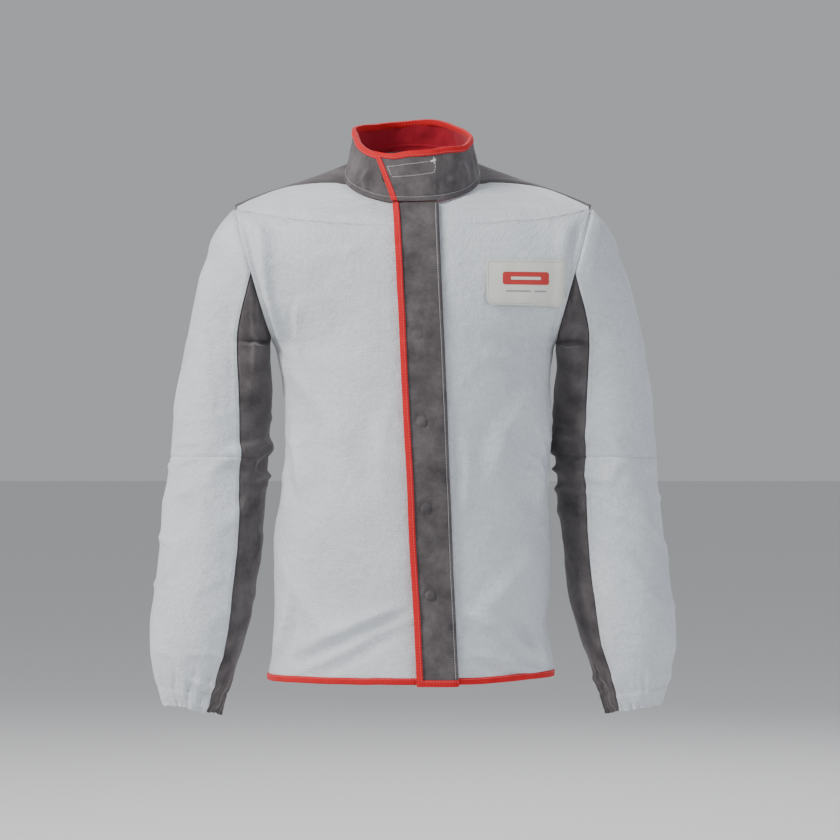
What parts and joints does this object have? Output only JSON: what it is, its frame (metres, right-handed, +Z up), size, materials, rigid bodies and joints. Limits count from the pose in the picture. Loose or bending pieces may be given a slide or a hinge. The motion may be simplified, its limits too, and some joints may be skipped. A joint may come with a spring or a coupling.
{
  "type": "welding jacket",
  "caption": "Leather welding jacket worn closed: stand collar with tab, bound placket over hidden snaps, two-tone sleeves with gathered cuffs, red binding along the hem.",
  "frame": {"origin": "middle of the neckline, level with the neck sides, where the jacket rests on the wearer's shoulders", "axes": "+Z up, -Y to the wearer's front, +X to the wearer's left"},
  "size_m": [0.7198, 0.2431, 0.8138],
  "materials": {
    "light_leather": "split cowhide, pale grey, smooth matte grain",
    "dark_suede": "split cowhide, charcoal brown suede nap",
    "red_binding": "red woven binding tape with lockstitching",
    "red_lining": "crimson lining cloth, matte",
    "hook_and_loop": "black hook and loop tape",
    "snap_metal": "nickel-plated press studs",
    "label_cloth": "cream woven retroreflective label, matte with a soft sheen",
    "elastic_webbing": "black knitted elastic inside the cuff casing"
  },
  "bodies": {
    "jacket_body": {"back_panel": "light_leather", "back_yoke": "dark_suede", "front_left_side": "light_leather", "front_right_side": "light_leather", "hem_binding_back": "red_binding", "collar_outer": "dark_suede", "collar_lining": "red_lining", "collar_binding": "red_binding", "hanger_loop": "red_binding", "chest_label": "label_cloth"},
    "front_left": {"front_left_leaf": "light_leather", "hem_binding_left": "red_binding", "collar_end_outer_left": "dark_suede", "collar_end_lining_left": "red_lining", "collar_end_binding_left": "red_binding"},
    "front_right": {"front_right_leaf": "light_leather", "hem_binding_right": "red_binding", "underlap_facing": "red_lining", "snap_studs": "snap_metal", "loop_patch": "hook_and_loop", "collar_end_outer_right": "dark_suede", "collar_end_lining_right": "red_lining", "collar_end_binding_right": "red_binding"},
    "placket": {"placket_outer": "dark_suede", "placket_facing": "dark_suede", "placket_binding": "red_binding", "snap_sockets": "snap_metal"},
    "collar_tab": {"collar_tab_outer": "dark_suede", "collar_tab_lining": "red_lining", "collar_tab_binding": "red_binding", "hook_patch": "hook_and_loop"},
    "upper_sleeve_left": {"upper_sleeve_top_left": "light_leather", "upper_sleeve_under_left": "dark_suede"},
    "forearm_left": {"forearm_sleeve_top_left": "light_leather", "forearm_sleeve_under_left": "dark_suede", "cuff_casing_left": "light_leather", "cuff_elastic_left": "elastic_webbing"},
    "upper_sleeve_right": {"upper_sleeve_top_right": "light_leather", "upper_sleeve_under_right": "dark_suede"},
    "forearm_right": {"forearm_sleeve_top_right": "light_leather", "forearm_sleeve_under_right": "dark_suede", "cuff_casing_right": "light_leather", "cuff_elastic_right": "elastic_webbing"}
  },
  "joints": [
    {"name": "front_left_open", "type": "hinge", "parent": "jacket_body", "child": "front_left", "pos_m": [0.12, -0.09554, -0.363], "axis": [-0.1472, -0.0967, 0.9844], "range_deg": [0, 70]},
    {"name": "front_right_open", "type": "hinge", "parent": "jacket_body", "child": "front_right", "pos_m": [-0.0825, -0.10899, -0.363], "axis": [-0.1159, 0.0402, -0.9924], "range_deg": [0, 32]},
    {"name": "placket_open", "type": "hinge", "parent": "front_left", "child": "placket", "pos_m": [0.047, -0.12207, -0.363], "axis": [-0.0405, -0.0111, 0.9991], "range_deg": [0, 115]},
    {"name": "collar_tab_open", "type": "hinge", "parent": "front_left", "child": "collar_tab", "pos_m": [0.031, -0.07971, -0.01108], "axis": [-0.0949, 0.1826, 0.9786], "range_deg": [0, 115]},
    {"name": "sleeve_left_raise", "type": "hinge", "parent": "jacket_body", "child": "upper_sleeve_left", "pos_m": [0.2435, 0, -0.04], "axis": [0, -1, 0], "range_deg": [0, 70]},
    {"name": "sleeve_right_raise", "type": "hinge", "parent": "jacket_body", "child": "upper_sleeve_right", "pos_m": [-0.2435, 0, -0.04], "axis": [0, 1, 0], "range_deg": [0, 70]},
    {"name": "elbow_left_bend", "type": "hinge", "parent": "upper_sleeve_left", "child": "forearm_left", "pos_m": [0.264, -0.0315, -0.382], "axis": [-1, 0, 0], "range_deg": [0, 100]},
    {"name": "elbow_right_bend", "type": "hinge", "parent": "upper_sleeve_right", "child": "forearm_right", "pos_m": [-0.264, -0.0315, -0.382], "axis": [-1, 0, 0], "range_deg": [0, 100]}
  ],
  "couplings": [
    {"joint": "front_right_open", "follows": "front_left_open", "ratio": 0.45}
  ]
}
